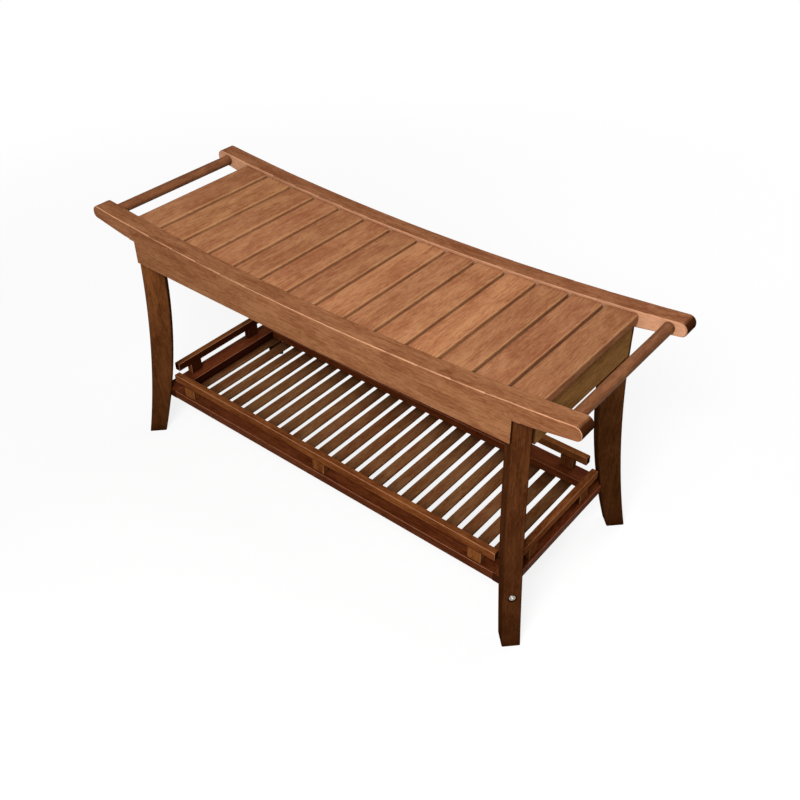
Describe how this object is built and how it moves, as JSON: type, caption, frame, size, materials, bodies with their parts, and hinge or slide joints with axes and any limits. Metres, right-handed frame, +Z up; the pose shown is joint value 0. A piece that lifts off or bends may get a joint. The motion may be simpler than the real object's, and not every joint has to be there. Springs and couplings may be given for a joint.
{
  "type": "spa bench",
  "caption": "Slatted bench with a dished seat between curved side rails, round end handles, splayed sabre legs and a slatted lower shelf with a low gallery.",
  "frame": {"origin": "on the floor under the middle of the seat", "axes": "+X along the bench, -Y the front, +Z up"},
  "size_m": [0.914, 0.3494, 0.4313],
  "materials": {
    "seat_wood": "oiled hardwood, planed and sanded",
    "frame_wood": "oiled hardwood, planed and sanded",
    "leg_wood": "oiled hardwood, planed and sanded",
    "shelf_wood": "oiled hardwood, planed and sanded",
    "inner_wood": "sawn hardwood, lightly oiled",
    "zinc_steel": "zinc plated"
  },
  "bodies": {
    "root": {"apron_pins": "inner_wood", "bearer_screws": "zinc_steel", "cleat_screws": "zinc_steel", "end_apron_pins": "inner_wood", "end_shelf_bearers": "inner_wood", "front_apron": "frame_wood", "front_gallery_posts": "shelf_wood", "front_gallery_rail": "shelf_wood", "front_left_leg": "leg_wood", "front_rail": "frame_wood", "front_right_leg": "leg_wood", "front_seat_screws": "zinc_steel", "front_shelf_bar": "shelf_wood", "front_shelf_bearer": "inner_wood", "front_slat_cleat": "inner_wood", "gallery_screws": "zinc_steel", "hanger_bolts": "zinc_steel", "hanger_nuts": "zinc_steel", "hanger_washers": "zinc_steel", "left_end_apron": "frame_wood", "left_gallery_posts": "shelf_wood", "left_gallery_rail": "shelf_wood", "left_handle": "frame_wood", "left_shelf_bar": "shelf_wood", "rear_apron": "frame_wood", "rear_gallery_posts": "shelf_wood", "rear_gallery_rail": "shelf_wood", "rear_left_leg": "leg_wood", "rear_rail": "frame_wood", "rear_right_leg": "leg_wood", "rear_seat_screws": "zinc_steel", "rear_shelf_bar": "shelf_wood", "rear_shelf_bearer": "inner_wood", "rear_slat_cleat": "inner_wood", "right_end_apron": "frame_wood", "right_gallery_posts": "shelf_wood", "right_gallery_rail": "shelf_wood", "right_handle": "frame_wood", "right_shelf_bar": "shelf_wood", "seat_corner_blocks": "inner_wood", "seat_slat_01": "seat_wood", "seat_slat_02": "seat_wood", "seat_slat_03": "seat_wood", "seat_slat_04": "seat_wood", "seat_slat_05": "seat_wood", "seat_slat_06": "seat_wood", "seat_slat_07": "seat_wood", "seat_slat_08": "seat_wood", "seat_slat_09": "seat_wood", "seat_slat_10": "seat_wood", "seat_slat_11": "seat_wood", "seat_slat_12": "seat_wood", "seat_slat_13": "seat_wood", "seat_slat_14": "seat_wood", "shelf_barrel_nuts": "zinc_steel", "shelf_bolts": "zinc_steel", "shelf_frame_pins": "inner_wood", "shelf_slat_screws": "zinc_steel", "shelf_slats": "shelf_wood"}
  },
  "joints": []
}
